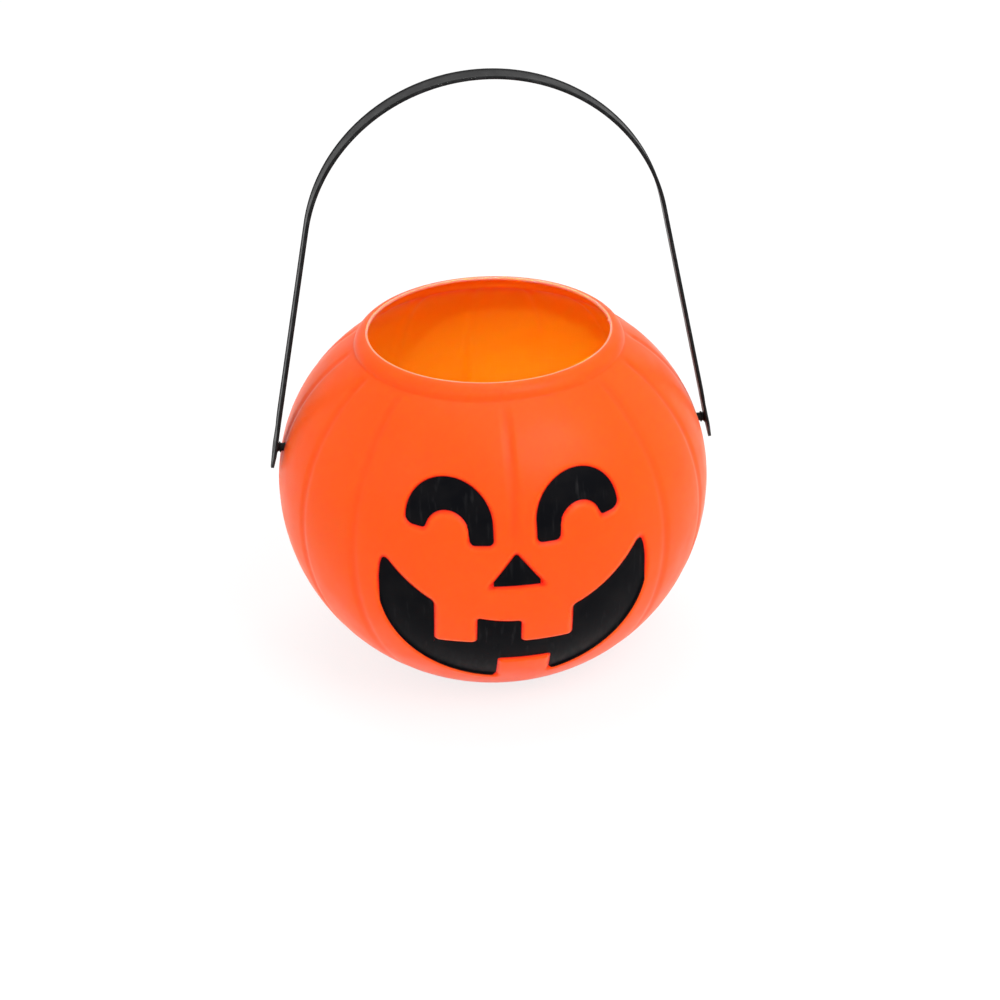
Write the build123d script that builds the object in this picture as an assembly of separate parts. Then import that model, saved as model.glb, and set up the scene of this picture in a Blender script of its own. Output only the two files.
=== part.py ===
from build123d import *
from math import asin, cos, degrees, radians, sin, sqrt
import os

# A pumpkin candy pail: a blow-moulded pumpkin with a sunken, painted face, and a snap-in strap handle.
# Millimetres, +Z up. The origin is the middle of the standing ring, the face looks along -Y and the
# handle turns about a line along X.

# Pumpkin body: two round arcs that meet upright at the belly, one up to the neck and one down to the foot
BELLY_RADIUS = 80.0
BELLY_HEIGHT = 69.0
FOOT_RADIUS = 36.0
NECK_ABOVE_BELLY = 55.2
WALL = 1.2

# Neck: a quarter-round collar that leads to the cut rim
RIM_RADIUS = 44.4
NECK_ROUND = 5.2

# Base: a flat standing ring round a pushed-up middle
RING_WIDTH = 7.0
PUSH_UP = 3.0
FOOT_ROUND = 6.0

# Meridian creases, as angles from the middle of the face to either side
SIDE_CREASE_ANGLES = (45.0, 66.0, 90.0, 112.5, 135.0, 157.5)
CREASE_WIDTH = 4.5
CREASE_DEPTH = 0.7
CREASE_FOOT_DEPTH = 0.15
CREASE_MARGIN = 1.0

# Face, in heights above the standing ring and widths from the middle
FACE_DEPTH = 1.3
CORNER_RADIUS = 1.2
BROW_X = 22.7
BROW_HEIGHT = 88.9
BROW_RADIUS = 15.0
EYE_HOLLOW_SHIFT = 1.0
EYE_HOLLOW_DROP = 2.9
EYE_HOLLOW_RADIUS = 7.5
EYE_LEG_DROP = 7.3
EYE_TAIL_ANGLE = 7.0
NOSE_TIP_HEIGHT = 78.5
NOSE_LENGTH = 12.8
NOSE_HALF_WIDTH = 9.7
LOWER_LIP_HEIGHT = 62.7
LOWER_LIP_HALF_WIDTH = 48.0
LOWER_LIP_DROP = 46.0
UPPER_LIP_HEIGHT = 104.6
UPPER_LIP_RADIUS = 54.9
UPPER_TEETH = ((-29.3, -14.3), (1.5, 20.3))
UPPER_TEETH_HEIGHT = 39.0
LOWER_TOOTH = (-6.6, 12.8)
LOWER_TOOTH_HEIGHT = 29.5

# Paint film on the floor of each recess
PAINT_THICKNESS = 0.15
PAINT_SEAT = 0.02
PAINT_EDGE = 0.15

# Handle strap, seen from the front as two leaning legs under a round arch
PIVOT_ABOVE_BELLY = 17.8
HANDLE_RISE = 141.0
LEG_LEAN = 10.5
STRAP_WIDTH = 8.0
STRAP_THICKNESS = 1.1
BEAD_WIDTH = 0.9
BEAD_HEIGHT = 0.25

# Leaf-shaped strap ends
TAB_GAP = 2.5
TAB_ABOVE_PEG = 9.0
TAB_BELOW_PEG = 8.5
TAB_RADIUS = 5.2
TAB_TIP_RADIUS = 2.0
SLOT_LENGTH = 5.0
SLOT_WIDTH = 1.3
SLOT_DEPTH = 0.6

# Pegs with their snap heads, and the holes they run in
PEG_RADIUS = 1.5
PEG_FLARE = 0.8
PEG_CLEARANCE = 0.08
SHELL_CLEARANCE = 0.4
COLLAR_RADIUS = 2.0
COLLAR_THICKNESS = 0.6
HEAD_RADIUS = 2.5
HEAD_TIP_RADIUS = 1.2
HEAD_LENGTH = 4.0


def arc_radius(across, rise):
    """Radius of an arc that starts upright and drifts inward by across over a rise."""
    return (across**2 + rise**2) / (2 * across)


def wall_radius(above_belly, inset=0.0):
    """Radius of the upper body at a height above the belly, inset from its outer surface."""
    return BELLY_RADIUS - UPPER_ROUND + sqrt((UPPER_ROUND - inset) ** 2 - above_belly**2)


# Heights and places that follow from the sizes above
REACH = 2 * (BELLY_RADIUS + HANDLE_RISE)
NECK_RADIUS = RIM_RADIUS + NECK_ROUND
UPPER_ROUND = arc_radius(BELLY_RADIUS - NECK_RADIUS, NECK_ABOVE_BELLY)
LOWER_ROUND = arc_radius(BELLY_RADIUS - FOOT_RADIUS, BELLY_HEIGHT)
NECK_HEIGHT = BELLY_HEIGHT + NECK_ABOVE_BELLY
RIM_HEIGHT = NECK_HEIGHT + NECK_ROUND
EYE_HOLLOW_X = BROW_X + EYE_HOLLOW_SHIFT
EYE_HOLLOW_HEIGHT = BROW_HEIGHT - EYE_HOLLOW_DROP
EYE_LEG_FOOT = BROW_HEIGHT - EYE_LEG_DROP
NOSE_BASE_HEIGHT = NOSE_TIP_HEIGHT - NOSE_LENGTH
PIVOT_HEIGHT = BELLY_HEIGHT + PIVOT_ABOVE_BELLY
TAB_MIDDLE = wall_radius(PIVOT_ABOVE_BELLY) + TAB_GAP + STRAP_THICKNESS / 2
LEAN = radians(LEG_LEAN)
ARCH_RADIUS = (TAB_MIDDLE * cos(LEAN) - HANDLE_RISE * sin(LEAN)) / (1 - sin(LEAN))
ARCH_HEIGHT = PIVOT_HEIGHT + HANDLE_RISE - ARCH_RADIUS


def turned(section):
    """Solid of revolution about Z, from a section with radius across and height up.

    Its seam lies at the back, between two creases.
    """
    seam = (SIDE_CREASE_ANGLES[-1] + 180) / 2 - 90
    return Rot(0, 0, seam) * revolve(Plane.XZ * section, Axis.Z)


def band(low, high):
    """Section of everything from the axis outward between two heights."""
    return Pos(0, low) * Rectangle(REACH, high - low, align=Align.MIN)


def egg_section(inset):
    """Half section of the pumpkin form, inset from its outer surface."""
    upper = Pos(BELLY_RADIUS - UPPER_ROUND, BELLY_HEIGHT) * Circle(UPPER_ROUND - inset)
    lower = Pos(BELLY_RADIUS - LOWER_ROUND, BELLY_HEIGHT) * Circle(LOWER_ROUND - inset)
    return (upper & band(BELLY_HEIGHT, REACH)) + (lower & band(-REACH, BELLY_HEIGHT))


def pail_section(inset):
    """Half section of the pail, filled to the axis, with every outer face moved inward by inset."""
    body = egg_section(inset) & band(inset, NECK_HEIGHT)
    foot = body.vertices().group_by(Axis.Y)[0].sort_by(Axis.X)[-1]
    body = fillet(foot, FOOT_ROUND - inset)
    ring_edge = (FOOT_RADIUS - RING_WIDTH, inset)
    far_edge = (RING_WIDTH - FOOT_RADIUS, inset)
    dome = ThreePointArc(ring_edge, (0, PUSH_UP + inset), far_edge)
    body -= make_face([dome, Line(far_edge, ring_edge)])
    collar_round = NECK_ROUND - inset
    collar = Pos(RIM_RADIUS, NECK_HEIGHT) * Circle(collar_round) & band(NECK_HEIGHT, RIM_HEIGHT)
    throat = Rectangle(RIM_RADIUS, REACH, align=Align.MIN) & band(BELLY_HEIGHT, NECK_HEIGHT + collar_round)
    return body + collar + throat


def crease_stretch(inset, arc, start, stop):
    """V-shaped cutter over a meridian arc at +X, between two angles in degrees above the belly."""
    bottom = BELLY_RADIUS - inset - CREASE_DEPTH
    top = BELLY_RADIUS + WALL
    half_width = (top - bottom) * CREASE_WIDTH / 2 / CREASE_DEPTH
    section = make_face(Polyline((bottom, 0), (top, half_width), (top, -half_width), close=True))
    axis = Axis((BELLY_RADIUS - arc, 0, BELLY_HEIGHT), (0, -1, 0))
    return revolve((Pos(0, 0, BELLY_HEIGHT) * section).rotate(axis, start), axis, stop - start)


def crease_cutters(inset):
    """Creases down the brow, down the back and in pairs down the sides, shallower at the foot."""
    neck = degrees(asin((NECK_ABOVE_BELLY - CREASE_MARGIN) / UPPER_ROUND))
    mid_nose = (NOSE_TIP_HEIGHT + NOSE_BASE_HEIGHT) / 2
    nose = degrees(asin((mid_nose - BELLY_HEIGHT) / UPPER_ROUND))
    foot = asin((BELLY_HEIGHT - FOOT_ROUND / 2) / LOWER_ROUND)
    fade = (CREASE_DEPTH - CREASE_FOOT_DEPTH) / (1 - cos(foot))
    brow = crease_stretch(inset, UPPER_ROUND, nose, neck)
    upper = crease_stretch(inset, UPPER_ROUND, 0, neck)
    whole = upper + crease_stretch(inset, LOWER_ROUND + fade, 0, -degrees(foot))
    angles = [side * angle for angle in SIDE_CREASE_ANGLES for side in (-1, 1)]
    sides = [Rot(0, 0, angle - 90) * whole for angle in angles]
    return [Rot(0, 0, -90) * brow, Rot(0, 0, 90) * whole, *sides]


def moved_edge(outline, grow):
    """An outline with its edge moved out by grow and its corners kept sharp."""
    return offset(outline, grow, kind=Kind.INTERSECTION) if grow else outline


def eye_outline(grow, corner):
    """The eye at +X, a round arch on one straight leg, its edge moved out by grow, with a corner radius."""
    quadrant = Rectangle(REACH, REACH, align=Align.MIN)
    above_hollow = Rot(0, 0, 90) * quadrant + Rot(0, 0, EYE_TAIL_ANGLE) * quadrant
    hollow_place = Pos(EYE_HOLLOW_X, EYE_HOLLOW_HEIGHT)
    brow = Pos(BROW_X, BROW_HEIGHT) * Rot(0, 0, -90) * Circle(BROW_RADIUS) & hollow_place * above_hollow
    leg_x = BROW_X - BROW_RADIUS
    leg_width = EYE_HOLLOW_X - EYE_HOLLOW_RADIUS - leg_x
    leg = Pos(leg_x, EYE_LEG_FOOT) * Rectangle(leg_width, BROW_HEIGHT - EYE_LEG_FOOT, align=Align.MIN)
    eye = moved_edge(brow + leg - hollow_place * Circle(EYE_HOLLOW_RADIUS), grow)
    foot = eye.vertices().group_by(Axis.Y)[0]
    tail = eye.vertices().sort_by(Axis.X)[-2:]
    return fillet([*foot, *tail], corner) if corner else eye


def other_eye_outline(grow, corner):
    """The eye at -X."""
    return mirror(eye_outline(grow, corner), about=Plane.YZ)


def nose_outline(grow, corner):
    """The three-cornered nose, its edge moved out by grow, with a corner radius."""
    tip = (0, NOSE_TIP_HEIGHT)
    base_corners = [(side * NOSE_HALF_WIDTH, NOSE_BASE_HEIGHT) for side in (-1, 1)]
    nose = moved_edge(make_face(Polyline(tip, *base_corners, close=True)), grow)
    return fillet(nose.vertices(), corner) if corner else nose


def mouth_outline(grow, corner):
    """The grin between two curved lips, less three teeth, its edge moved out by grow."""
    lower_lip = Ellipse(LOWER_LIP_HALF_WIDTH + grow, LOWER_LIP_DROP + grow)
    upper_lip = Circle(UPPER_LIP_RADIUS - grow)
    mouth = Pos(0, LOWER_LIP_HEIGHT) * lower_lip - Pos(0, UPPER_LIP_HEIGHT) * upper_lip
    upper_edge = UPPER_TEETH_HEIGHT + grow
    lower_edge = LOWER_TOOTH_HEIGHT - grow
    for left, right in UPPER_TEETH:
        tooth = Rectangle(right - left - 2 * grow, REACH, align=Align.MIN)
        mouth -= Pos(left + grow, upper_edge) * tooth
    left, right = LOWER_TOOTH
    tooth = Rectangle(right - left - 2 * grow, REACH, align=(Align.MIN, Align.MAX))
    mouth -= Pos(left + grow, lower_edge) * tooth
    tooth_edges = (upper_edge, lower_edge)
    tooth_corners = [v for v in mouth.vertices() if any(abs(v.Y - edge) < 1e-4 for edge in tooth_edges)]
    grin_tips = mouth.vertices().sort_by(Axis.Y)[-2:]
    return fillet([*tooth_corners, *grin_tips], corner) if corner else mouth


FACE_OUTLINES = {
    "left_eye_paint": other_eye_outline,
    "right_eye_paint": eye_outline,
    "nose_paint": nose_outline,
    "mouth_paint": mouth_outline,
}


def face_prism(outline):
    """A face outline carried forward from the pail's middle, past the belly."""
    return extrude(Plane.XZ * outline, REACH)


def sunk(outline, depth):
    """Cutter for a face outline, down to a floor that follows the body at a depth."""
    return face_prism(outline) - turned(egg_section(depth))


def paint_film(outline_of):
    """Thin film that covers the floor of a recess, clear of its side walls."""
    floor = FACE_DEPTH - PAINT_SEAT
    outline = outline_of(-PAINT_EDGE, CORNER_RADIUS - PAINT_EDGE)
    film = face_prism(outline) & turned(egg_section(floor - PAINT_THICKNESS))
    return film - turned(egg_section(floor))


def pail_shell():
    """The blow-moulded pumpkin, with a wall that follows its creases and its face."""
    body = turned(pail_section(0))
    cavity = turned(pail_section(WALL)) + Pos(0, 0, RIM_HEIGHT) * Cylinder(RIM_RADIUS, 4 * WALL)
    body -= crease_cutters(0)
    cavity -= crease_cutters(WALL)
    for outline_of in FACE_OUTLINES.values():
        body -= sunk(outline_of(0, CORNER_RADIUS), FACE_DEPTH)
        cavity -= sunk(outline_of(WALL, 0), FACE_DEPTH + WALL)
    peg_holes = Pos(0, 0, PIVOT_HEIGHT) * Rot(0, 90, 0) * Cylinder(PEG_RADIUS + PEG_CLEARANCE, REACH)
    return body - cavity - peg_holes


def strap_layer(out, thickness, width):
    """Bent strip of a thickness and width, its middle moved to the outside of the strap's by out."""
    across = Vector(cos(LEAN), sin(LEAN))
    along = Vector(-sin(LEAN), cos(LEAN))
    foot = Vector(TAB_MIDDLE, PIVOT_HEIGHT) + across * out + along * (TAB_ABOVE_PEG - STRAP_THICKNESS)
    knee = Vector(0, ARCH_HEIGHT) + across * (ARCH_RADIUS + out)
    leg = Line(foot, knee)
    arch = ThreePointArc(knee, (0, ARCH_HEIGHT + ARCH_RADIUS + out), (-knee.X, knee.Y))
    other_leg = Line((-knee.X, knee.Y), (-foot.X, foot.Y))
    return extrude(Plane.XZ * trace([leg, arch, other_leg], thickness), width / 2, both=True)


def strap():
    """Flat strip with a raised bead along each edge of its outer face."""
    strip = strap_layer(0, STRAP_THICKNESS, STRAP_WIDTH)
    bead = strap_layer(STRAP_THICKNESS / 2, 2 * BEAD_HEIGHT, BEAD_WIDTH)
    bead_y = (STRAP_WIDTH - BEAD_WIDTH) / 2
    return strip + Pos(0, bead_y, 0) * bead + Pos(0, -bead_y, 0) * bead


def tab():
    """Leaf-shaped end of the strap at +X, with a slot in its outer face."""
    face = Plane((TAB_MIDDLE, 0, PIVOT_HEIGHT), x_dir=(0, 1, 0), z_dir=(cos(LEAN), 0, sin(LEAN)))
    tip = Pos(0, TAB_TIP_RADIUS - TAB_BELOW_PEG) * Circle(TAB_TIP_RADIUS)
    shoulder = Pos(0, TAB_ABOVE_PEG) * Rectangle(STRAP_WIDTH, STRAP_THICKNESS)
    leaf = make_hull([*Circle(TAB_RADIUS).edges(), *tip.edges(), *shoulder.edges()])
    slot = Pos(0, 0, STRAP_THICKNESS / 2 - SLOT_DEPTH) * SlotOverall(SLOT_LENGTH, SLOT_WIDTH, rotation=90)
    return extrude(face * leaf, STRAP_THICKNESS / 2, both=True) - extrude(face * slot, 2 * SLOT_DEPTH)


def peg():
    """Peg at +X: a flare at the tab, a collar outside the shell and a snap head inside it."""
    tab_face = TAB_MIDDLE - STRAP_THICKNESS / 2
    collar = wall_radius(PIVOT_ABOVE_BELLY - COLLAR_RADIUS) + SHELL_CLEARANCE
    shoulder = wall_radius(PIVOT_ABOVE_BELLY + HEAD_RADIUS, WALL) - CREASE_DEPTH - SHELL_CLEARANCE
    outline = Polyline(
        (TAB_MIDDLE, 0),
        (TAB_MIDDLE, PEG_RADIUS + PEG_FLARE),
        (tab_face, PEG_RADIUS + PEG_FLARE),
        (collar + COLLAR_THICKNESS, PEG_RADIUS),
        (collar + COLLAR_THICKNESS, COLLAR_RADIUS),
        (collar, COLLAR_RADIUS),
        (collar, PEG_RADIUS),
        (shoulder, PEG_RADIUS),
        (shoulder, HEAD_RADIUS),
        (shoulder - HEAD_LENGTH, HEAD_TIP_RADIUS),
        (shoulder - HEAD_LENGTH, 0),
        close=True,
    )
    return Pos(0, 0, PIVOT_HEIGHT) * revolve(make_face(outline), Axis.X)


def handle_strap():
    """The whole handle moulding: strap, two tabs and two pegs."""
    end = tab() + peg()
    return strap() + end + mirror(end, about=Plane.YZ)


os.makedirs("parts", exist_ok=True)
export_step(pail_shell(), "parts/pail_shell.step")
export_step(handle_strap(), "parts/handle_strap.step")
for node, outline_of in FACE_OUTLINES.items():
    export_step(paint_film(outline_of), f"parts/{node}.step")
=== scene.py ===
import logging
import math
from dataclasses import dataclass, field
from enum import Enum
from typing import Any, Callable

import bpy
import numpy as np
from mathutils import Matrix, Vector


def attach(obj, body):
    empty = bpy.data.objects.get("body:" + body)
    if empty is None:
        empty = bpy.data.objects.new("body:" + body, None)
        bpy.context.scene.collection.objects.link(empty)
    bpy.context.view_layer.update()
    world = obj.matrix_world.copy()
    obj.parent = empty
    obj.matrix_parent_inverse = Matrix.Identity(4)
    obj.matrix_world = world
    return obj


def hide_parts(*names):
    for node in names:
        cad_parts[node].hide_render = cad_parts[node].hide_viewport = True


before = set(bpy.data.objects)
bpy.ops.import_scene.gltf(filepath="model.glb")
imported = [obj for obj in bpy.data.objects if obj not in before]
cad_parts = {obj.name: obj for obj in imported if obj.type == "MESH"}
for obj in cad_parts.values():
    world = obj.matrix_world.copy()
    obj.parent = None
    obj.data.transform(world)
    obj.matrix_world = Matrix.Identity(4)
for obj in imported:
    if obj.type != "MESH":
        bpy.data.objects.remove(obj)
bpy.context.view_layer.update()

# A pumpkin candy pail: a blow-moulded pumpkin with a sunken, painted face and a snap-in strap handle.
# Sizes are millimetres in the part's own frame: +Z up, the face towards -Y, the pegs along X.

LOG = logging.getLogger("pumpkin_pail")
METRES = 0.001

Array = np.ndarray
Pair = tuple[float, float]
Triple = tuple[float, float, float]
Colour = Triple

WHITE = (1.0, 1.0, 1.0, 1.0)
# Most of a noise's values lie in this range.
NOISE_SPAN: Pair = (0.3, 0.7)
# A distance in millimetres that stands for nowhere near the face.
FAR = 99.0
# The mix node has sockets of one name for each kind of value. Those for colours have these numbers.
MIX_SHARE, MIX_FIRST, MIX_SECOND, MIX_COLOUR = 0, 6, 7, 2


class Body(Enum):
    """The two bodies that move against each other."""

    PAIL = "pail"
    HANDLE = "handle"


class Slot(Enum):
    """The material slots of the record."""

    ORANGE = "orange_plastic"
    PAINT = "black_paint"
    BLACK = "black_plastic"


class Side(Enum):
    """The two ends of the handle, as the sign of X."""

    LEFT = -1
    RIGHT = 1


class FacePart(Enum):
    """The four sunken and painted parts of the face, by the solids that they replace."""

    LEFT_EYE = "left_eye_paint"
    RIGHT_EYE = "right_eye_paint"
    NOSE = "nose_paint"
    MOUTH = "mouth_paint"


# Small surface tools


def smooth_step(value: Array, low: float, high: float) -> Array:
    """Ease from 0 at low to 1 at high: 3t^2 - 2t^3 of the share t of the way between them.

    Args:
        value: The values to ease.
        low: Where the result leaves 0.
        high: Where the result reaches 1.

    Returns:
        The eased shares.
    """
    share = np.clip((value - low) / (high - low), 0.0, 1.0)
    return share * share * (3.0 - 2.0 * share)


def round_max(first: Array, second: Array, radius: float) -> Array:
    """Distance to the overlap of two shapes whose shared corner is rounded.

    The larger of the two distances, held at -radius, plus the length of the two parts above -radius.

    Args:
        first: Signed distances to the first shape.
        second: Signed distances to the second shape.
        radius: Corner radius.

    Returns:
        Signed distances to the rounded overlap.
    """
    corner = np.hypot(np.maximum(first + radius, 0.0), np.maximum(second + radius, 0.0))
    return np.minimum(np.maximum(first, second), -radius) + corner


def spaced(start: float, stop: float, step: float) -> Array:
    """Even steps of at most step from start up to, and without, stop."""
    count = max(1, math.ceil(abs(stop - start) / step))
    return np.linspace(start, stop, count, endpoint=False)


def turn_between(angle: Array, other: float) -> Array:
    """Turn between each angle and another one, the short way round, in radians."""
    return np.abs((angle - other + math.pi) % (2.0 * math.pi) - math.pi)


def grid_quads(rows: int, columns: int, closed: bool) -> Array:
    """Quads between neighbouring rows and columns of a grid of points, stored row by row.

    Args:
        rows: Number of rows.
        columns: Number of columns.
        closed: Whether the last column joins the first.

    Returns:
        Four point numbers per quad, along its row and back along the next.
    """
    row = np.arange(rows - 1)[:, None] * columns
    next_row = row + columns
    column = np.arange(columns if closed else columns - 1)[None, :]
    following = (column + 1) % columns
    quads = np.stack([row + column, row + following, next_row + following, next_row + column], -1)
    return quads.reshape(-1, 4)


def tube_faces(rows: int, columns: int) -> list[list[int]]:
    """Faces of a closed tube: the quads between its rows, turned over, and a flat cap at each end.

    Args:
        rows: Number of rows along the tube.
        columns: Number of points round it.

    Returns:
        Point numbers per face.
    """
    number = np.arange(rows * columns).reshape(rows, columns)
    sides = grid_quads(rows, columns, True)[:, ::-1].tolist()
    return sides + [number[0].tolist(), number[-1, ::-1].tolist()]


def make_piece(
    name: str,
    points: Array,
    faces: list[list[int]],
    marks: dict[str, Array] | None = None,
    sharp_angle: float | None = None,
) -> bpy.types.Object:
    """Mesh object at the origin from points in millimetres.

    Args:
        name: Name of the piece.
        points: One row of x, y, z per point.
        faces: Point numbers per face, turning anticlockwise seen from outside.
        marks: Values per point that the finishes read by name.
        sharp_angle: Angle in degrees past which an edge is shaded sharp.

    Returns:
        The new object.
    """
    mesh = bpy.data.meshes.new(name)
    mesh.from_pydata((points * METRES).tolist(), [], faces)
    mesh.update()
    mesh.shade_smooth()
    if sharp_angle is not None:
        mesh.set_sharp_from_angle(angle=math.radians(sharp_angle))
    for mark, values in (marks or {}).items():
        attribute = mesh.attributes.new(mark, "FLOAT", "POINT")
        attribute.data.foreach_set("value", np.ascontiguousarray(values, dtype=np.float32).ravel())
    piece = bpy.data.objects.new(name, mesh)
    bpy.context.scene.collection.objects.link(piece)
    return piece


def place(piece: bpy.types.Object, body: Body, slot: Slot, *nodes: str) -> None:
    """Make a piece ride a body and let it stand for solids.

    Args:
        piece: The piece.
        body: The body that carries it.
        slot: The slot of its finish. Not used.
        nodes: The solids that it replaces.
    """
    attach(piece, body.value)
    if nodes:
        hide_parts(*nodes)
    LOG.info("%s: %d points, %d faces", piece.name, len(piece.data.vertices), len(piece.data.polygons))


# Finishes


@dataclass(frozen=True)
class Noise:
    """A noise pattern: its features per metre, its finer layers and its scale along each axis."""

    scale: float
    detail: float
    stretch: Triple = (1.0, 1.0, 1.0)


@dataclass(frozen=True)
class Relief:
    """A bump: the share of it that shows, and the height of a full step in millimetres."""

    strength: float
    depth: float


class Wiring:
    """A node tree while it is put together."""

    def __init__(self, tree: bpy.types.NodeTree) -> None:
        """Start from a tree with its first nodes."""
        self.tree = tree

    def add(
        self,
        kind: str,
        settings: dict[str, Any] | None = None,
        inputs: dict[Any, Any] | None = None,
    ) -> Any:
        """Add a node.

        Args:
            kind: Blender's name for the node type.
            settings: Values of the node's own properties.
            inputs: Values, or sockets to link, by input name or number.

        Returns:
            The node.
        """
        node = self.tree.nodes.new(kind)
        for key, value in (settings or {}).items():
            setattr(node, key, value)
        self.feed(node, inputs or {})
        return node

    def feed(self, node: Any, inputs: dict[Any, Any]) -> None:
        """Set or link a node's inputs.

        Args:
            node: The node.
            inputs: Values, or sockets to link, by input name or number.
        """
        for key, value in inputs.items():
            if isinstance(value, bpy.types.NodeSocket):
                self.tree.links.new(value, node.inputs[key])
            else:
                node.inputs[key].default_value = value

    def mark(self, name: str) -> Any:
        """Socket of a value stored on the piece's points."""
        return self.add("ShaderNodeAttribute", {"attribute_name": name}).outputs["Fac"]

    def compute(self, operation: str, first: Any, second: Any) -> Any:
        """Socket of the result of one of the math node's operations on two values."""
        return self.add("ShaderNodeMath", {"operation": operation}, {0: first, 1: second}).outputs[0]

    def spread(self, value: Any, source: Pair, target: Pair = (0.0, 1.0)) -> Any:
        """Stretch a value from one range to another and hold it there.

        Args:
            value: Socket of the value.
            source: The range it comes in.
            target: The range it leaves in.

        Returns:
            The new value's socket.
        """
        inputs = {
            "Value": value,
            "From Min": source[0],
            "From Max": source[1],
            "To Min": target[0],
            "To Max": target[1],
        }
        return self.add("ShaderNodeMapRange", {"clamp": True}, inputs).outputs["Result"]

    def blend(self, share: Any, first: Any, second: Any) -> Any:
        """Mix two colours.

        Args:
            share: Socket of the second colour's share.
            first: Colour, or socket of one.
            second: Colour, or socket of one.

        Returns:
            The mixed colour's socket.
        """
        colours = [(*c, 1.0) if isinstance(c, tuple) else c for c in (first, second)]
        inputs = {MIX_SHARE: share, MIX_FIRST: colours[0], MIX_SECOND: colours[1]}
        return self.add("ShaderNodeMix", {"data_type": "RGBA"}, inputs).outputs[MIX_COLOUR]

    def layer(self, share: Any, first: Any, second: Any) -> Any:
        """Socket of two shaders mixed, by the second one's share."""
        return self.add("ShaderNodeMixShader", inputs={0: share, 1: first, 2: second}).outputs[0]

    def bump(self, height: Any, relief: Relief, normal: Any = None) -> Any:
        """Bump from a height value.

        Args:
            height: Socket of the height.
            relief: How much of it shows, and its depth.
            normal: Socket of a normal to start from.

        Returns:
            The new normal's socket.
        """
        inputs = {"Strength": relief.strength, "Distance": relief.depth * METRES, "Height": height}
        if normal is not None:
            inputs["Normal"] = normal
        return self.add("ShaderNodeBump", inputs=inputs).outputs["Normal"]

    def background_rays(self) -> Any:
        """Socket that is 1 for rays from the camera, off gloss or through glass, and 0 for others."""
        path = self.add("ShaderNodeLightPath").outputs
        seen = self.compute("MAXIMUM", path["Is Camera Ray"], path["Is Glossy Ray"])
        return self.compute("MAXIMUM", seen, path["Is Transmission Ray"])


class Skin(Wiring):
    """A material's node tree, with its surface shader, its output and the piece's own coordinates."""

    def __init__(self, name: str) -> None:
        """Start a material.

        Args:
            name: Name of the material.
        """
        self.material = bpy.data.materials.new(name)
        self.material.use_nodes = True
        super().__init__(self.material.node_tree)
        self.shader = self.tree.nodes["Principled BSDF"]
        self.output = self.tree.nodes["Material Output"]
        self.place = self.add("ShaderNodeTexCoord").outputs["Object"]

    def noise(self, pattern: Noise) -> Any:
        """Noise on the piece's own coordinates.

        Args:
            pattern: Scale, layers and stretch of the noise.

        Returns:
            The noise value's socket.
        """
        inputs = {"Vector": self.place, "Scale": pattern.stretch}
        where = self.add("ShaderNodeMapping", inputs=inputs).outputs["Vector"]
        inputs = {"Vector": where, "Scale": pattern.scale, "Detail": pattern.detail}
        return self.add("ShaderNodeTexNoise", inputs=inputs).outputs["Fac"]


@dataclass(frozen=True)
class OrangePlastic:
    """Thin, satin, slightly translucent orange plastic, with a painted highlight on its cut edge, painted
    shade that makes it redder in its folds and hollows, and a painted glow inside.
    """

    name: str = "orange_plastic_skin"
    bright: Colour = (1.0, 0.084, 0.005)
    deep: Colour = (1.0, 0.076, 0.004)
    # fold: the deep red of painted shade in the creases, on the recess walls, round the nose's rim and round
    # the pegs.
    fold: Colour = (1.0, 0.014, 0.002)
    # inner: a paler orange inside the shell that paints in the glow of light passing through the wall.
    inner: Colour = (1.0, 0.33, 0.012)
    # cut: a pale pink painted highlight along the cut edge of the rim.
    cut: Colour = (1.0, 0.24, 0.17)
    mottle: Noise = Noise(16.0, 3.0)
    mottle_range: Pair = (0.35, 0.65)
    haze: Noise = Noise(90.0, 4.0)
    roughness: Pair = (0.34, 0.46)
    waves: Noise = Noise(38.0, 2.0)
    wave_relief: Relief = Relief(0.25, 0.8)
    grain: Noise = Noise(1300.0, 2.0)
    grain_relief: Relief = Relief(0.12, 0.06)
    gloss: float = 0.12
    scatter: float = 0.9
    scatter_reach: Colour = (1.0, 0.45, 0.08)
    scatter_depth: float = 8.0
    bloom: float = 0.20
    bloom_spread: float = 0.24
    bloom_tint: Colour = (1.0, 0.62, 0.60)

    def material(self) -> bpy.types.Material:
        """Build the material."""
        wiring = Skin(self.name)
        mottle = wiring.spread(wiring.noise(self.mottle), self.mottle_range)
        colour = wiring.blend(mottle, self.bright, self.deep)
        # Painted glow: the "inside" mark makes the inner surface paler, as if lit through the wall.
        colour = wiring.blend(wiring.mark("inside"), colour, self.inner)
        # Painted shade: the "fold" mark turns shaded creases and hollows deep red.
        colour = wiring.blend(wiring.mark("fold"), colour, self.fold)
        # Painted highlight: the "cut" mark makes the rim's cut edge pale pink.
        colour = wiring.blend(wiring.mark("cut"), colour, self.cut)
        roughness = wiring.spread(wiring.noise(self.haze), NOISE_SPAN, self.roughness)
        waves = wiring.bump(wiring.noise(self.waves), self.wave_relief)
        grain = wiring.bump(wiring.noise(self.grain), self.grain_relief, waves)
        inputs = {
            "Base Color": colour,
            "Roughness": roughness,
            "Normal": grain,
            "Specular IOR Level": self.gloss,
            "Sheen Weight": self.bloom,
            "Sheen Roughness": self.bloom_spread,
            "Sheen Tint": (*self.bloom_tint, 1.0),
            "Subsurface Weight": self.scatter,
            "Subsurface Radius": self.scatter_reach,
            "Subsurface Scale": self.scatter_depth * METRES,
        }
        wiring.feed(wiring.shader, inputs)
        return wiring.material


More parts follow.
